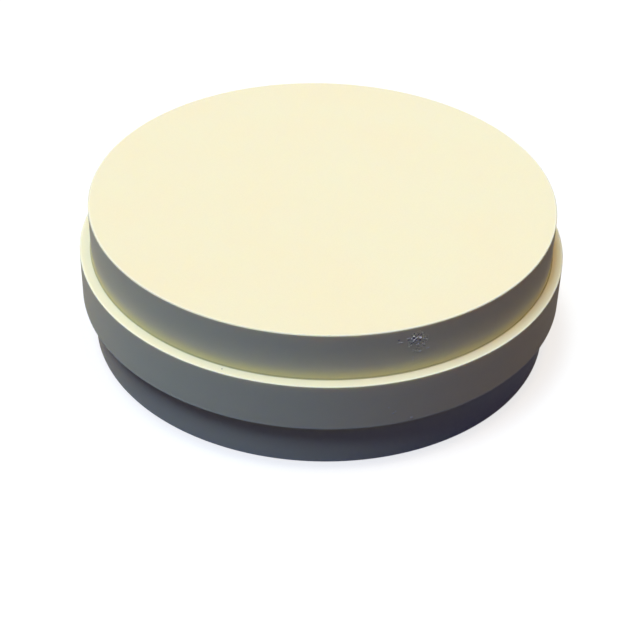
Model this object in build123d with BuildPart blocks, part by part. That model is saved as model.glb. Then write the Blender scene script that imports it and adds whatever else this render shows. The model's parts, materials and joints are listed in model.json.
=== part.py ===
from math import cos, degrees, radians, sin, sqrt
import os

from build123d import *

# A dental milling disc: one solid blank, turned with a clamping collar
# half-way up its core. Millimetres, with +Z up the disc's axis and the
# origin at the centre of the face that it stands on.

# Driving dimensions
collar_diameter = 98.5  # the rim that the milling machine's holder grips
collar_height = 10.0
ledge_width = 2.25  # how far the collar stands out from the core
upper_rise = 10.0  # core above the collar
lower_rise = 10.0  # core below the collar
face_chamfer = 0.25  # edge break round the top and bottom faces
collar_chamfer = 0.25  # edge break round the collar
ledge_radius = 0.25  # tool-nose radius where the core meets each ledge

# The scuffed patch on the upper wall: crossing scratches among shallow pits
scuff_angle = -67.7  # degrees from +X round to the patch's middle
scuff_drop = 3.4  # from the top face down to the patch's middle
scuff_width = 3.7
scuff_height = 4.8
pit_count = 18
pit_radius = 0.42  # of the largest pit's rim
pit_depth = 0.15
smallest_pit = 0.55  # share of the largest
golden_turn = 137.508  # degrees from one pit to the next
scratch_depth = 0.2
scratch_nose = 0.22  # radius of a scratch's round section
# Each scratch: its length, its slope in degrees, and its middle's place
# along the wall and up it from the patch's middle
scratches = [
    (2.2, 39.0, -0.6, 0.55),
    (1.3, 42.0, -0.15, 1.5),
    (1.1, -50.0, -1.0, 1.45),
    (1.2, 8.0, 1.3, -0.85),
    (1.5, -4.0, -3.45, 0.5),
]

# Worked out from the driving dimensions
collar_radius = collar_diameter / 2
core_radius = collar_radius - ledge_width
lower_ledge_z = lower_rise
upper_ledge_z = lower_ledge_z + collar_height
top_z = upper_ledge_z + upper_rise


def on_the_wall(along, up, out=0.0):
    """A plane beside the upper wall, facing outwards, with its X along the
    wall and its Y up it. It stands off the wall by out."""
    turn = scuff_angle + degrees(along / core_radius)
    outwards = Vector(cos(radians(turn)), sin(radians(turn)), 0)
    height = top_z - scuff_drop + up
    return Plane(
        origin=outwards * (core_radius + out) + Vector(0, 0, height),
        x_dir=Vector(0, 0, 1).cross(outwards),
        z_dir=outwards,
    )


def pit_places():
    """The pits' places and sizes, spread like the seeds of a sunflower, so
    that they fill the patch evenly with no rows."""
    for n in range(pit_count):
        reach = sqrt((n + 0.5) / pit_count)
        turn = radians(golden_turn * n)
        along = reach * cos(turn) * scuff_width / 2
        up = reach * sin(turn) * scuff_height / 2
        share = 1 - (1 - smallest_pit) * reach
        yield along, up, share


with BuildPart() as blank:
    # The turned outline, half of it, from the axis outwards
    with BuildSketch(Plane.XZ):
        with BuildLine():
            Polyline(
                (0, 0),
                (core_radius, 0),
                (core_radius, lower_ledge_z),
                (collar_radius, lower_ledge_z),
                (collar_radius, upper_ledge_z),
                (core_radius, upper_ledge_z),
                (core_radius, top_z),
                (0, top_z),
                close=True,
            )
        make_face()
    revolve(axis=Axis.Z)

    rims = blank.edges().filter_by(GeomType.CIRCLE).group_by(SortBy.RADIUS)
    core_rims, collar_rims = rims[0], rims[-1]
    levels = core_rims.group_by(Axis.Z)
    fillet(levels[1] + levels[2], radius=ledge_radius)
    chamfer(collar_rims, length=collar_chamfer)
    ends = blank.edges().filter_by(GeomType.CIRCLE).group_by(Axis.Z)
    chamfer(ends[0] + ends[-1], length=face_chamfer)

    # Shallow pits, each the cap of a ball that dips into the wall
    for along, up, share in pit_places():
        rim = pit_radius * share
        depth = pit_depth * share
        ball = (rim**2 + depth**2) / (2 * depth)
        with Locations(on_the_wall(along, up, out=ball - depth)):
            Sphere(ball, rotation=(90, 0, 0), mode=Mode.SUBTRACT)

    # Scratches, each cut by the round rim of a wheel that dips into the wall
    for length, slope, along, up in scratches:
        wheel = (length / 2) ** 2 / (2 * scratch_depth)
        plane = on_the_wall(along, up, out=wheel - scratch_depth)
        with Locations(plane.rotated((0, 0, slope))):
            Torus(
                wheel - scratch_nose,
                scratch_nose,
                rotation=(90, 0, 0),
                mode=Mode.SUBTRACT,
            )

blank.part.label = "disc"
os.makedirs("parts", exist_ok=True)
export_step(blank.part, "parts/disc.step")
print(f"core {core_radius * 2} mm, collar {collar_diameter} mm, {top_z} mm thick")
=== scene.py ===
import json
from math import cos, pi, radians, sin

import bpy
from mathutils import Matrix, Vector

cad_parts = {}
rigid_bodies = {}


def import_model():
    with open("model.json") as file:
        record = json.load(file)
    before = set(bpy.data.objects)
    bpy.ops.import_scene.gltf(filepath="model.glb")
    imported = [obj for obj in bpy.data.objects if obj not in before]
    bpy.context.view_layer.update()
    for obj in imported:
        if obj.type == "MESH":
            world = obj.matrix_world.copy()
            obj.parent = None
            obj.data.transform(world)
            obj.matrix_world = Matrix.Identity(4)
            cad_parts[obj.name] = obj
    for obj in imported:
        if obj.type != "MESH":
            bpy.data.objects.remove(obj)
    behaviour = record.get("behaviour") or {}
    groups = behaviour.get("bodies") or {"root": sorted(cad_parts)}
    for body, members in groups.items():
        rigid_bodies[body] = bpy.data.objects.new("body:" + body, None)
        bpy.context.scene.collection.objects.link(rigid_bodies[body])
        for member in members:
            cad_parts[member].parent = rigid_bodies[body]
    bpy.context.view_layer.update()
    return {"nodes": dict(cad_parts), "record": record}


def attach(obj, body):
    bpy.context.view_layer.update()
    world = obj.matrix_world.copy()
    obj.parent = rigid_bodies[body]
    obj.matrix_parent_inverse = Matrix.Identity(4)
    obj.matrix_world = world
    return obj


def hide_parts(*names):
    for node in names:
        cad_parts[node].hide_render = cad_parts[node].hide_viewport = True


# A dental milling disc: one turned ceramic blank with a collar round its middle.
# Metres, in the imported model's frame. +Z is up the disc's axis.

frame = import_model()
mm = 0.001
mounts = {mount["name"]: mount for mount in frame["record"]["mounts"]}
print("frame loaded:", sorted(frame["nodes"]))


# Small helpers for node trees

def addNode(tree, kind, inputs=None, **settings):
    made = tree.nodes.new(kind)
    for name, value in settings.items():
        setattr(made, name, value)
    for key, value in (inputs or {}).items():
        if isinstance(value, bpy.types.NodeSocket):
            tree.links.new(value, made.inputs[key])
        else:
            made.inputs[key].default_value = value
    return made


def calc(tree, operation, first, second=0.0):
    return addNode(tree, "ShaderNodeMath", {0: first, 1: second}, operation=operation).outputs[0]


def vector(tree, x=0.0, y=0.0, z=0.0):
    return addNode(tree, "ShaderNodeCombineXYZ", {0: x, 1: y, 2: z}).outputs[0]


def ramp(tree, value, start, end, first, last, shape="LINEAR"):
    # runs from first to last while the value runs from start to end
    return addNode(
        tree,
        "ShaderNodeMapRange",
        {0: value, 1: start, 2: end, 3: first, 4: last},
        interpolation_type=shape,
    ).outputs[0]


def aroundAxis(tree, place):
    # a place's three parts, and its distance from the disc's axis
    part = addNode(tree, "ShaderNodeSeparateXYZ", {0: place}).outputs
    flat = vector(tree, part[0], part[1])
    radius = addNode(tree, "ShaderNodeVectorMath", {0: flat}, operation="LENGTH").outputs["Value"]
    return part, radius


def startTree(name, inputs):
    # a modifier's tree, with a named input for each size
    tree = bpy.data.node_groups.new(name, "GeometryNodeTree")
    tree.interface.new_socket("Geometry", in_out="INPUT", socket_type="NodeSocketGeometry")
    tree.interface.new_socket("Geometry", in_out="OUTPUT", socket_type="NodeSocketGeometry")
    for label, kind in inputs.items():
        tree.interface.new_socket(label, in_out="INPUT", socket_type="NodeSocket" + kind)
    return tree, tree.nodes.new("NodeGroupInput").outputs


def endTree(tree, geometry):
    end = tree.nodes.new("NodeGroupOutput")
    tree.links.new(geometry, end.inputs[0])


def growMesh(made, tree, values):
    # runs the tree on an object and leaves the result as its plain mesh
    modifier = made.modifiers.new(tree.name, "NODES")
    modifier.node_group = tree
    for item in tree.interface.items_tree:
        if item.name in values:
            modifier[item.identifier] = values[item.name]
    depsgraph = bpy.context.evaluated_depsgraph_get()
    mesh = bpy.data.meshes.new_from_object(made.evaluated_get(depsgraph), depsgraph=depsgraph)
    made.modifiers.clear()
    made.data = mesh


def newObject(name, mesh=None):
    made = bpy.data.objects.new(name, mesh or bpy.data.meshes.new(name))
    bpy.context.scene.collection.objects.link(made)
    return made


# The turned body: a profile with eight corners, swept round the axis

discBody = {
    "Core Radius": mounts["upper_core"]["dims"]["r_mm"] * mm,
    "Collar Radius": mounts["collar_rim"]["dims"]["r_mm"] * mm,
    "Lower Ledge": mounts["lower_ledge"]["pos_m"][2],
    "Upper Ledge": mounts["upper_ledge"]["pos_m"][2],
    "Top": mounts["top_face"]["pos_m"][2],
    "Face Chamfer": 0.14 * mm,
    "Collar Edge Radius": 0.12 * mm,
    "Ledge Fillet": 0.25 * mm,
    "Facets": 720,
}


def turnedDiscTree():
    kinds = {label: "Int" if label == "Facets" else "Float" for label in discBody}
    tree, size = startTree("turned disc", kinds)
    core, collar = size["Core Radius"], size["Collar Radius"]
    corners = [
        (0.0, 0.0),
        (core, 0.0),
        (core, size["Lower Ledge"]),
        (collar, size["Lower Ledge"]),
        (collar, size["Upper Ledge"]),
        (core, size["Upper Ledge"]),
        (core, size["Top"]),
        (0.0, size["Top"]),
    ]
    face, rim, inner = size["Face Chamfer"], size["Collar Edge Radius"], size["Ledge Fillet"]
    breaks = [0.0, face, inner, rim, rim, inner, face, 0.0]
    roundSteps = 5
    steps = [1, 1, *[roundSteps] * 4, 1, 1]

    def byCorner(dataType, choices):
        # a value for each corner, by its number along the profile
        switch = addNode(tree, "GeometryNodeIndexSwitch", data_type=dataType)
        while len(switch.index_switch_items) < len(choices):
            switch.index_switch_items.new()
        tree.links.new(addNode(tree, "GeometryNodeInputIndex").outputs[0], switch.inputs[0])
        for place, choice in enumerate(choices):
            socket = switch.inputs[place + 1]
            if isinstance(choice, bpy.types.NodeSocket):
                tree.links.new(choice, socket)
            else:
                socket.default_value = choice
        return switch.outputs[0]

    line = addNode(tree, "GeometryNodeMeshLine", {"Count": len(corners)})
    # the sweep measures the profile from its path, and turns it over
    pathRadius = 1.0 * mm
    closeEnough = 0.001 * mm  # points nearer than this become one
    offsets = [
        vector(tree, calc(tree, "SUBTRACT", r, pathRadius), calc(tree, "MULTIPLY", z, -1.0))
        for r, z in corners
    ]
    places = byCorner("VECTOR", offsets)
    placed = addNode(tree, "GeometryNodeSetPosition", {"Geometry": line.outputs[0], "Position": places})
    profile = addNode(tree, "GeometryNodeMeshToCurve", {0: placed.outputs[0]})
    softened = addNode(
        tree,
        "GeometryNodeFilletCurve",
        {"Curve": profile.outputs[0], "Count": byCorner("INT", steps), "Radius": byCorner("FLOAT", breaks)},
        mode="POLY",
    )
    path = addNode(
        tree,
        "GeometryNodeCurvePrimitiveCircle",
        {"Resolution": size["Facets"], "Radius": pathRadius},
    )
    swept = addNode(
        tree,
        "GeometryNodeCurveToMesh",
        {"Curve": path.outputs[0], "Profile Curve": softened.outputs[0]},
    )
    closed = addNode(
        tree,
        "GeometryNodeMergeByDistance",
        {"Geometry": swept.outputs[0], "Distance": closeEnough},
    )
    flipped = addNode(tree, "GeometryNodeFlipFaces", {"Mesh": closed.outputs[0]})
    endTree(tree, flipped.outputs[0])
    return tree


disc = newObject("disc_body")
growMesh(disc, turnedDiscTree(), discBody)
print("turned body:", len(disc.data.polygons), "faces")


# Marks in the surface, each a stretched ball. A burr stands proud of it and shows
# fresh ceramic, a gouge dips into it and is painted darker as shade, and a grain does either.

burrMark, gougeMark, grainMark = 1, 2, 3
ballSteps = 3  # how finely a mark's ball is divided

scuffedPatch = {
    "Middle Angle": radians(-67.7),
    "Middle Height": 26.6 * mm,
    "Half Width": 1.9 * mm,
    "Half Height": 2.5 * mm,
    "Grains": 70,
    "Grain Radius": 0.3 * mm,
    "Grain Height": 0.09 * mm,
    "Seed": 4,
}

# Strokes of the patch in millimetres from its middle: along the wall, up it,
# length, width and height, and then the slope in degrees.
patchBurrs = [
    (0.5, 0.78, 0.5, 0.3, 0.22, 5.0),
    (-0.85, 0.45, 0.9, 0.22, 0.2, 42.0),
    (-0.3, 0.9, 0.8, 0.18, 0.13, 42.0),
    (-0.85, 1.4, 0.4, 0.28, 0.2, 0.0),
    (-1.2, 0.9, 0.32, 0.26, 0.16, -20.0),
    (-1.3, 0.25, 0.35, 0.2, 0.09, 0.0),
    (-0.5, -0.1, 0.35, 0.22, 0.12, -30.0),
    (-0.2, 0.3, 0.4, 0.2, 0.1, 35.0),
    (0.15, -0.5, 0.45, 0.2, 0.08, 10.0),
    (0.2, 1.1, 0.5, 0.18, 0.08, 10.0),
    (-1.9, 1.15, 0.7, 0.16, 0.06, 5.0),
    (1.3, 0.35, 0.6, 0.16, 0.06, 0.0),
    (1.15, -0.8, 0.7, 0.18, 0.06, 5.0),
    (-0.55, -1.9, 0.5, 0.24, 0.05, 0.0),
    (0.6, -2.35, 0.5, 0.36, 0.05, 0.0),
    (2.15, -2.0, 0.9, 0.16, 0.05, 8.0),
    (-3.4, 0.5, 1.1, 0.18, 0.06, -4.0),
    (-0.7, -3.3, 0.24, 0.18, 0.06, 0.0),
    (-0.65, -4.0, 0.24, 0.18, 0.06, 0.0),
]
patchGouges = [
    (-0.8, 1.0, 0.45, 0.36, 0.22, -40.0),
    (-0.45, 1.25, 0.45, 0.22, 0.18, 30.0),
    (-1.1, 0.7, 0.35, 0.25, 0.18, 20.0),
    (-0.55, 0.25, 1.2, 0.22, 0.2, 42.0),
    (0.05, 1.6, 0.7, 0.18, 0.12, 45.0),
    (-0.8, 2.0, 0.35, 0.22, 0.12, 0.0),
    (0.5, 0.2, 0.45, 0.34, 0.2, -30.0),
    (-1.25, -0.15, 0.4, 0.26, 0.16, 25.0),
    (-1.15, 1.55, 0.45, 0.2, 0.14, -45.0),
    (0.6, 1.5, 0.6, 0.18, 0.1, 45.0),
    (1.05, -0.3, 0.4, 0.22, 0.1, 0.0),
    (-1.85, 0.8, 0.6, 0.16, 0.08, 5.0),
    (-3.7, 1.15, 0.4, 0.25, 0.02, 0.0),
]

# Nicks elsewhere: angle from +X in degrees, height or radius, then as above. Those on
# the top rim sit in the middle of its chamfer.
collarBurrs = [
    (-73.4, 12.7, 0.5, 0.2, 0.05, 20.0),
    (-74.5, 14.2, 0.4, 0.2, 0.05, -15.0),
    (-72.9, 13.1, 0.3, 0.2, 0.05, 0.0),
    (-69.1, 10.8, 0.5, 0.3, 0.07, 0.0),
]
ledgeGouges = [
    (-111.4, 48.0, 0.35, 0.3, 0.12, 0.0),
]
rimBurrs = [
    (157.8, 0.9, 0.25, 0.07, 0.0),
    (161.9, 0.6, 0.25, 0.07, 0.0),
]


def faceTurn(angle, facing, slope=0.0):
    # X along the circumference and Z out of the surface, which faces sideways at 0 and up at 90
    upright = Matrix.Rotation(angle + pi / 2, 3, "Z") @ Matrix.Rotation(pi / 2 - facing, 3, "X")
    return upright @ Matrix.Rotation(slope, 3, "Z")


def markPoints():
    points, turns, sizes, kinds = [], [], [], []
    core, collar = discBody["Core Radius"], discBody["Collar Radius"]

    def add(kind, angle, radius, height, facing, length, width, rise, slope):
        turn = faceTurn(angle, radians(facing), radians(slope))
        place = Vector((radius * cos(angle), radius * sin(angle), height))
        if kind == burrMark:
            sizes.append((length / 2 * mm, width / 2 * mm, rise * mm))
        else:
            # the ball stands half out, so that its cut meets the surface at a slant
            place += turn.col[2] * rise * mm
            reach = 0.866  # half-width of a ball's cut at half its radius
            sizes.append((length / 2 / reach * mm, width / 2 / reach * mm, 2 * rise * mm))
        points.append(place)
        turns.append(turn.to_quaternion())
        kinds.append(kind)

    for kind, strokes in ((burrMark, patchBurrs), (gougeMark, patchGouges)):
        for along, up, *rest in strokes:
            angle = scuffedPatch["Middle Angle"] + along * mm / core
            add(kind, angle, core, scuffedPatch["Middle Height"] + up * mm, 0.0, *rest)
    for angle, height, *rest in collarBurrs:
        add(burrMark, radians(angle), collar, height * mm, 0.0, *rest)
    for angle, radius, *rest in ledgeGouges:
        add(gougeMark, radians(angle), radius * mm, discBody["Upper Ledge"], 90.0, *rest)
    inset = discBody["Face Chamfer"] / 2
    for angle, *rest in rimBurrs:
        add(burrMark, radians(angle), core - inset, discBody["Top"] - inset, 45.0, *rest)

    mesh = bpy.data.meshes.new("mark_points")
    mesh.from_pydata(points, [], [])
    for name, kind, field, values in (
        ("turn", "QUATERNION", "value", turns),
        ("size", "FLOAT_VECTOR", "vector", sizes),
        ("kind", "INT", "value", kinds),
    ):
        stored = mesh.attributes.new(name, kind, "POINT")
        for place, value in enumerate(values):
            setattr(stored.data[place], field, value)
    return newObject("mark_points", mesh)


def carvedMarksTree():
    kinds = {
        "Marks": "Object",
        "Core Radius": "Float",
        "Middle Angle": "Float",
        "Middle Height": "Float",
        "Half Width": "Float",
        "Half Height": "Float",
        "Grains": "Int",
        "Grain Radius": "Float",
        "Grain Height": "Float",
        "Seed": "Int",
        "Sharp Angle": "Float",
        "Speck Faces": "Int",
        "Whole": "Material",
        "Fresh": "Material",
        "Dirty": "Material",
    }
    tree, size = startTree("carved marks", kinds)

    def named(name, dataType):
        return addNode(
            tree,
            "GeometryNodeInputNamedAttribute",
            {"Name": name},
            data_type=dataType,
        ).outputs[0]

    def tagged(geometry, value):
        return addNode(
            tree,
            "GeometryNodeStoreNamedAttribute",
            {"Geometry": geometry, "Name": "wear", "Value": value},
            data_type="INT",
            domain="FACE",
        ).outputs[0]

    def equals(first, second):
        return addNode(
            tree,
            "FunctionNodeCompare",
            {2: first, 3: second},
            data_type="INT",
            operation="EQUAL",
        ).outputs[0]

    def eulerTurn(x, z):
        return addNode(tree, "FunctionNodeEulerToRotation", {0: vector(tree, x, 0.0, z)}).outputs[0]

    # grains laid out like the seeds of a sunflower, lower towards the patch's edge,
    # of which every other one is a pit
    goldenTurn = radians(137.508)
    ownTurn = 3.0  # a grain's turn on the wall, as a multiple of its turn round the patch
    stray = 0.17  # how far a grain strays, as a share of the patch
    smallest = 0.5  # the smallest grain, as a share of the largest
    edgeDrop = 0.3  # how much smaller the grains are at the patch's edge
    index = addNode(tree, "GeometryNodeInputIndex").outputs[0]
    reach = calc(tree, "SQRT", calc(tree, "DIVIDE", calc(tree, "ADD", index, 0.5), size["Grains"]))
    turn = calc(tree, "MULTIPLY", index, goldenTurn)
    random = addNode(
        tree,
        "FunctionNodeRandomValue",
        {0: (-stray, -stray, smallest), 1: (stray, stray, 1.0), "Seed": size["Seed"]},
        data_type="FLOAT_VECTOR",
    ).outputs[0]
    shake = addNode(tree, "ShaderNodeSeparateXYZ", {0: random}).outputs
    across = calc(tree, "ADD", calc(tree, "MULTIPLY", calc(tree, "COSINE", turn), reach), shake[0])
    rise = calc(tree, "ADD", calc(tree, "MULTIPLY", calc(tree, "SINE", turn), reach), shake[1])
    along = calc(tree, "MULTIPLY", across, size["Half Width"])
    up = calc(tree, "MULTIPLY", rise, size["Half Height"])
    angle = calc(tree, "ADD", size["Middle Angle"], calc(tree, "DIVIDE", along, size["Core Radius"]))
    place = vector(
        tree,
        calc(tree, "MULTIPLY", size["Core Radius"], calc(tree, "COSINE", angle)),
        calc(tree, "MULTIPLY", size["Core Radius"], calc(tree, "SINE", angle)),
        calc(tree, "ADD", size["Middle Height"], up),
    )
    seeds = addNode(tree, "GeometryNodePoints", {"Count": size["Grains"], "Position": place}).outputs[0]
    facing = eulerTurn(pi / 2, calc(tree, "ADD", angle, pi / 2))
    spun = addNode(
        tree,
        "FunctionNodeRotateRotation",
        {0: facing, 1: eulerTurn(0.0, calc(tree, "MULTIPLY", turn, ownTurn))},
        rotation_space="LOCAL",
    ).outputs[0]
    outwards = calc(tree, "SUBTRACT", 1.0, calc(tree, "MULTIPLY", reach, edgeDrop))
    grow = calc(tree, "MULTIPLY", shake[2], outwards)
    width = calc(tree, "MULTIPLY", size["Grain Radius"], grow)
    grainSize = vector(
        tree,
        width,
        calc(tree, "MULTIPLY", width, shake[2]),
        calc(tree, "MULTIPLY", size["Grain Height"], grow),
    )
    ball = addNode(
        tree,
        "GeometryNodeMeshIcoSphere",
        {"Radius": 1.0, "Subdivisions": ballSteps},
    ).outputs[0]

    def grains(remainder):
        return addNode(
            tree,
            "GeometryNodeInstanceOnPoints",
            {
                "Points": seeds,
                "Selection": equals(calc(tree, "MODULO", index, 2.0), remainder),
                "Instance": tagged(ball, grainMark),
                "Rotation": spun,
                "Scale": grainSize,
            },
        ).outputs[0]

    # marks with places of their own
    marks = addNode(tree, "GeometryNodeObjectInfo", {"Object": size["Marks"]}).outputs["Geometry"]

    def placed(kind):
        return addNode(
            tree,
            "GeometryNodeInstanceOnPoints",
            {
                "Points": marks,
                "Selection": equals(named("kind", "INT"), kind),
                "Instance": tagged(ball, kind),
                "Rotation": named("turn", "QUATERNION"),
                "Scale": named("size", "FLOAT_VECTOR"),
            },
        ).outputs[0]

    cut = addNode(tree, "GeometryNodeMeshBoolean", operation="DIFFERENCE", solver="MANIFOLD")
    tree.links.new(tagged(size["Geometry"], 0), cut.inputs[0])
    for cutter in (grains(0), placed(gougeMark)):
        tree.links.new(cutter, cut.inputs[1])
    carved = addNode(tree, "GeometryNodeMeshBoolean", operation="UNION", solver="MANIFOLD")
    for solid in (cut.outputs[0], grains(1), placed(burrMark)):
        tree.links.new(solid, carved.inputs[1])

    # the cuts leave loose specks, far smaller than a grain
    island = addNode(tree, "GeometryNodeInputMeshIsland").outputs["Island Index"]
    islandFaces = addNode(
        tree,
        "GeometryNodeAccumulateField",
        {"Value": 1, "Group Index": island},
        data_type="INT",
        domain="FACE",
    ).outputs["Total"]
    speck = calc(tree, "LESS_THAN", islandFaces, size["Speck Faces"])
    clean = addNode(
        tree,
        "GeometryNodeDeleteGeometry",
        {"Geometry": carved.outputs[0], "Selection": speck},
        domain="FACE",
    )

    # smooth, but for edges steeper than the sharp angle and the outlines of the marks,
    # where a face with wear meets one without and the mean of the two lies near a half
    smooth = addNode(
        tree,
        "GeometryNodeSetShadeSmooth",
        {"Geometry": clean.outputs[0], "Shade Smooth": True},
    )
    edgeAngle = addNode(tree, "GeometryNodeInputMeshEdgeAngle").outputs[0]
    steep = calc(tree, "GREATER_THAN", edgeAngle, size["Sharp Angle"])
    wear = named("wear", "INT")
    marked = addNode(
        tree,
        "GeometryNodeFieldOnDomain",
        {0: calc(tree, "MINIMUM", wear, 1.0)},
        data_type="FLOAT",
        domain="FACE",
    ).outputs[0]
    outline = addNode(tree, "ShaderNodeMath", {0: marked, 1: 0.5, 2: 0.25}, operation="COMPARE").outputs[0]
    crisp = calc(tree, "MAXIMUM", steep, outline)
    creased = addNode(
        tree,
        "GeometryNodeSetShadeSmooth",
        {"Geometry": smooth.outputs[0], "Selection": crisp, "Shade Smooth": False},
        domain="EDGE",
    )
    result = addNode(tree, "GeometryNodeRealizeInstances", {0: creased.outputs[0]}).outputs[0]
    # gouges take the painted shade colour
    for kind, finish in ((0, "Whole"), (grainMark, "Whole"), (burrMark, "Fresh"), (gougeMark, "Dirty")):
        result = addNode(
            tree,
            "GeometryNodeSetMaterial",
            {"Geometry": result, "Selection": equals(wear, kind), "Material": size[finish]},
        ).outputs[0]
    endTree(tree, result)
    return tree


# Finishes. Patterns follow the disc's own coordinates, in metres.

def startGroup(name, inputs, outputs):
    # an effect that several materials share
    group = bpy.data.node_groups.new(name, "ShaderNodeTree")
    for label, kind, value in inputs:
        socket = group.interface.new_socket(label, in_out="INPUT", socket_type="NodeSocket" + kind)
        socket.default_value = value
    for label, kind in outputs:
        group.interface.new_socket(label, in_out="OUTPUT", socket_type="NodeSocket" + kind)
    return group, group.nodes.new("NodeGroupInput").outputs, group.nodes.new("NodeGroupOutput").inputs


def chalkGrainGroup():
    # fine speckle of pressed powder, with slow clouds of tone
    group, given, wanted = startGroup(
        "chalk grain",
        [
            ("Place", "Vector", (0.0, 0.0, 0.0)),
            ("Grain Size", "Float", 0.25 * mm),
            ("Cloud Size", "Float", 20.0 * mm),
        ],
        [("Grain", "Float"), ("Clouds", "Float")],
    )

    def noise(size, detail, roughness):
        return addNode(
            group,
            "ShaderNodeTexNoise",
            {
                "Vector": given["Place"],
                "Scale": calc(group, "DIVIDE", 1.0, size),
                "Detail": detail,
                "Roughness": roughness,
            },
        ).outputs[0]

    group.links.new(noise(given["Grain Size"], detail=3.0, roughness=0.6), wanted["Grain"])
    group.links.new(noise(given["Cloud Size"], detail=2.0, roughness=0.5), wanted["Clouds"])
    return group


chalkGrain = chalkGrainGroup()

chalkyCeramic = {
    "main colour": (0.885, 0.845, 0.63, 1.0),
    "cloud colour": (0.895, 0.835, 0.615, 1.0),
    # painted highlight: a lighter colour along the face and collar rims, for the bright line of light on
    # these edges
    "rim colour": (0.99, 0.965, 0.78, 1.0),
    # painted bounce light: a yellower colour on the core wall next to the ledge
    "glow colour": (0.90, 0.83, 0.44, 1.0),
    # painted shade: a dark line in the crease where a core wall meets a ledge
    "crease colour": (0.36, 0.33, 0.15, 1.0),
    "grain tone": 0.03,
    "grain size": 0.22 * mm,
    "cloud size": 18.0 * mm,
    "turning pitch": 0.35 * mm,
    "rim reach": 0.6 * mm,
    "glow reach": 3.2 * mm,
    "crease reach": 0.35 * mm,
    "smoothest": 0.81,
    "roughest": 0.94,
    "relief": 0.012 * mm,
    "relief strength": 0.5,
    "turning share": 0.6,
}
freshCeramic = {"main colour": (0.93, 0.92, 0.88, 1.0), "grain tone": 0.05, "grain size": 0.12 * mm}
# painted shade: a dark colour inside the gouges, darker than their own shading leaves them
paintedShadePit = {"main colour": (0.52, 0.49, 0.47, 1.0), "grain tone": 0.3, "grain size": 0.1 * mm}
markRoughness = 0.9

# set on the shader's own sockets, for the whole surface and the marks alike
ceramicBody = {
    "Specular IOR Level": 0.2,
    "Subsurface Weight": 0.4,
    "Subsurface Radius": (1.0, 0.85, 0.4),
    "Subsurface Scale": 1.0 * mm,
}

# the part of each noise's range that holds most of its values
grainRange = (0.3, 0.7)
cloudRange = (0.35, 0.65)


def startMaterial(name, constants):
    material = bpy.data.materials.new(name)
    material.use_nodes = True
    tree = material.node_tree
    shader = tree.nodes["Principled BSDF"]
    for socket, value in constants.items():
        shader.inputs[socket].default_value = value
    return material, tree, shader


def mixColour(tree, factor, first, second, blend="MIX"):
    return addNode(
        tree,
        "ShaderNodeMix",
        {0: factor, 6: first, 7: second},
        data_type="RGBA",
        blend_type=blend,
    ).outputs[2]


def objectPlace(tree):
    return addNode(tree, "ShaderNodeTexCoord").outputs["Object"]


def grainShade(tree, colour, grain, tone):
    # darkens the colour a little between the grains
    shade = ramp(tree, grain, *grainRange, 1.0 - tone, 1.0)
    return mixColour(tree, 1.0, colour, shade, "MULTIPLY")


def grainNode(tree, place, inputs):
    return addNode(tree, "ShaderNodeGroup", {"Place": place, **inputs}, node_tree=chalkGrain).outputs


def turningMarks(tree, part, radius):
    # faint rings on the flat faces and lines round the walls, left by the lathe
    pitch = chalkyCeramic["turning pitch"]
    rings = vector(
        tree,
        calc(tree, "DIVIDE", radius, pitch),
        calc(tree, "DIVIDE", part[2], pitch),
        calc(tree, "ABSOLUTE", calc(tree, "ARCTAN2", part[1], part[0])),
    )
    return addNode(tree, "ShaderNodeTexNoise", {"Vector": rings, "Scale": 1.0, "Detail": 2.0}).outputs[0]


def nearCircle(tree, radius, rise, circle, reach):
    # 1 on a circle round the disc's axis, given by its radius and its rise, and 0 at reach from it
    outwards = calc(tree, "SUBTRACT", radius, circle[0])
    upwards = calc(tree, "SUBTRACT", rise, circle[1])
    off = vector(tree, outwards, upwards)
    distance = addNode(tree, "ShaderNodeVectorMath", {0: off}, operation="LENGTH").outputs["Value"]
    return ramp(tree, distance, 0.0, reach, 1.0, 0.0, "SMOOTHSTEP")


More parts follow.
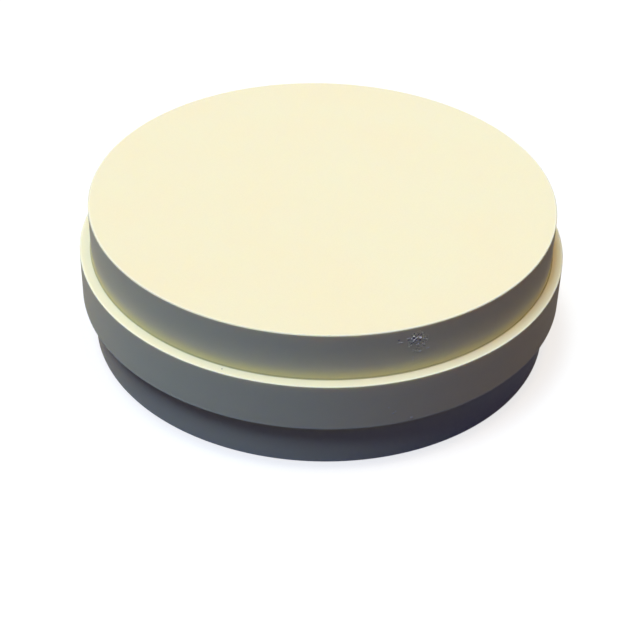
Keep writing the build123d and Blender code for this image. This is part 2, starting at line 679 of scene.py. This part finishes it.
def chalkyCeramicMaterial():
    material, tree, shader = startMaterial("chalky_ceramic", ceramicBody)
    place = objectPlace(tree)
    part, radius = aroundAxis(tree, place)
    core, collar = discBody["Core Radius"], discBody["Collar Radius"]
    middle = discBody["Top"] / 2
    ledgeRise = discBody["Upper Ledge"] - middle
    # the disc is alike above and below its middle, so one circle stands for two
    rise = calc(tree, "ABSOLUTE", calc(tree, "SUBTRACT", part[2], middle))
    # painted highlight: masks that lighten the colour near the face rim and the collar rim
    faceRimHighlight = nearCircle(tree, radius, rise, (core, middle), chalkyCeramic["rim reach"])
    collarRimHighlight = nearCircle(tree, radius, rise, (collar, ledgeRise), chalkyCeramic["rim reach"])
    # painted shade in the crease between the core wall and the ledge, darkest in the corner
    crease = nearCircle(tree, radius, rise, (core, ledgeRise), chalkyCeramic["crease reach"])
    # painted bounce light: the wall next to the ledge is painted yellower, for the light that crosses
    # between the two
    bounceGlowEnd = ledgeRise + chalkyCeramic["glow reach"]
    bounceGlowFade = ramp(tree, rise, ledgeRise, bounceGlowEnd, 1.0, 0.0, "SMOOTHSTEP")
    onCore = calc(tree, "LESS_THAN", radius, core + discBody["Ledge Fillet"] / 2)
    grain = grainNode(tree, place, {
        "Grain Size": chalkyCeramic["grain size"],
        "Cloud Size": chalkyCeramic["cloud size"],
    })
    clouds = ramp(tree, grain["Clouds"], *cloudRange, 0.0, 1.0)
    colour = mixColour(tree, clouds, chalkyCeramic["main colour"], chalkyCeramic["cloud colour"])
    rimHighlights = calc(tree, "MAXIMUM", faceRimHighlight, collarRimHighlight)
    colour = mixColour(tree, rimHighlights, colour, chalkyCeramic["rim colour"])
    colour = mixColour(tree, calc(tree, "MULTIPLY", bounceGlowFade, onCore), colour, chalkyCeramic["glow colour"])
    colour = mixColour(tree, crease, colour, chalkyCeramic["crease colour"])
    colour = grainShade(tree, colour, grain["Grain"], chalkyCeramic["grain tone"])
    tree.links.new(colour, shader.inputs["Base Color"])
    rough = ramp(tree, grain["Grain"], *grainRange, chalkyCeramic["smoothest"], chalkyCeramic["roughest"])
    tree.links.new(rough, shader.inputs["Roughness"])
    turned = calc(tree, "MULTIPLY", turningMarks(tree, part, radius), chalkyCeramic["turning share"])
    bump = addNode(
        tree,
        "ShaderNodeBump",
        {
            "Strength": chalkyCeramic["relief strength"],
            "Distance": chalkyCeramic["relief"],
            "Height": calc(tree, "ADD", grain["Grain"], turned),
        },
    )
    tree.links.new(bump.outputs[0], shader.inputs["Normal"])
    return material


def markMaterial(name, finish):
    material, tree, shader = startMaterial(name, {**ceramicBody, "Roughness": markRoughness})
    grain = grainNode(tree, objectPlace(tree), {"Grain Size": finish["grain size"]})
    colour = grainShade(tree, finish["main colour"], grain["Grain"], finish["grain tone"])
    tree.links.new(colour, shader.inputs["Base Color"])
    return material


marks = markPoints()
growMesh(disc, carvedMarksTree(), {
    **scuffedPatch,
    "Core Radius": discBody["Core Radius"],
    "Marks": marks,
    "Sharp Angle": radians(8.0),
    "Speck Faces": 100,
    "Whole": chalkyCeramicMaterial(),
    "Fresh": markMaterial("fresh_ceramic", freshCeramic),
    "Dirty": markMaterial("dirty_pit", paintedShadePit),
})
bpy.data.objects.remove(marks)
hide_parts("disc")
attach(disc, "root")
print("marks carved:", len(disc.data.polygons), "faces")


# Floor, light and camera

studio = {
    "floor half size": 3.0,
    "floor seen": (0.32, 0.32, 0.34, 1.0),
    "floor glow": (0.75, 0.75, 0.75, 1.0),
    "floor bounce": (0.05, 0.05, 0.055, 1.0),
    "fill colour": (0.012, 0.012, 0.079, 1.0),
}

# strength, colour, softness, tilt from overhead, and the side it comes from, as an
# angle from +X, in degrees
lamps = {
    "left": (1.34, (0.81, 1.0, 0.93), 16.0, 10.0, 180.0),
    "front": (1.28, (0.52, 0.68, 1.0), 26.0, 22.0, 225.0),
    "rear": (0.77, (1.0, 0.72, 0.42), 30.0, 45.0, 135.0),
    "right": (1.1, (1.0, 0.71, 0.3), 16.0, 10.0, 0.0),
}


def seenRays(tree):
    # 1 where the camera, a reflection or a clear body looks, and 0 for bounced light
    path = tree.nodes.new("ShaderNodeLightPath").outputs
    direct = calc(tree, "MAXIMUM", path["Is Camera Ray"], path["Is Glossy Ray"])
    return calc(tree, "MAXIMUM", direct, path["Is Transmission Ray"])


def buildFloor():
    half = studio["floor half size"]
    corners = [(-half, -half, 0), (half, -half, 0), (half, half, 0), (-half, half, 0)]
    mesh = bpy.data.meshes.new("floor")
    mesh.from_pydata(corners, [], [(0, 1, 2, 3)])
    floor = newObject("floor", mesh)
    material, tree, shader = startMaterial("pale_floor", {
        "Emission Strength": 1.0,
        "Roughness": 1.0,
        "Specular IOR Level": 0.0,
    })
    seen = seenRays(tree)
    colour = mixColour(tree, seen, studio["floor bounce"], studio["floor seen"])
    tree.links.new(colour, shader.inputs["Base Color"])
    # a glow of its own keeps the shadow on it light
    glow = mixColour(tree, seen, (0.0, 0.0, 0.0, 1.0), studio["floor glow"])
    tree.links.new(glow, shader.inputs["Emission Color"])
    mesh.materials.append(material)


def buildLamp(name, strength, colour, softness, tilt, side):
    lamp = bpy.data.lights.new(name, "SUN")
    lamp.energy = strength
    lamp.color = colour
    lamp.angle = radians(softness)
    made = bpy.data.objects.new(name, lamp)
    bpy.context.scene.collection.objects.link(made)
    lean, turn = radians(tilt), radians(side)
    towards = Vector((sin(lean) * cos(turn), sin(lean) * sin(turn), cos(lean)))
    made.rotation_mode = "QUATERNION"
    made.rotation_quaternion = towards.to_track_quat("Z", "Y")


def buildFill():
    world = bpy.data.worlds.new("studio")
    bpy.context.scene.world = world
    world.use_nodes = True
    tree = world.node_tree
    colour = mixColour(tree, seenRays(tree), studio["fill colour"], (1.0, 1.0, 1.0, 1.0))
    tree.links.new(colour, tree.nodes["Background"].inputs["Color"])


cameraView = {
    "place": Vector((-0.034, -266.782, 197.885)) * mm,
    "yaw": radians(-0.037),
    "down": radians(36.797),
    "roll": radians(1.641),
    "focal length": 87.719,
    "sensor": 36.0,
    "nearest": 0.01,
    "farthest": 10.0,
}


def buildCamera():
    lens = bpy.data.cameras.new("camera")
    lens.sensor_width = cameraView["sensor"]
    lens.lens = cameraView["focal length"]
    lens.clip_start = cameraView["nearest"]
    lens.clip_end = cameraView["farthest"]
    camera = bpy.data.objects.new("camera", lens)
    bpy.context.scene.collection.objects.link(camera)
    turn = Matrix.Rotation(cameraView["yaw"], 4, "Z") @ Matrix.Rotation(pi / 2 - cameraView["down"], 4, "X")
    turn = turn @ Matrix.Rotation(cameraView["roll"], 4, "Z")
    camera.matrix_world = Matrix.Translation(cameraView["place"]) @ turn
    bpy.context.scene.camera = camera


buildFloor()
for name, settings in lamps.items():
    buildLamp(name, *settings)
buildFill()
buildCamera()
bpy.context.scene.view_settings.view_transform = "Standard"
print("studio built")

bpy.context.view_layer.update()
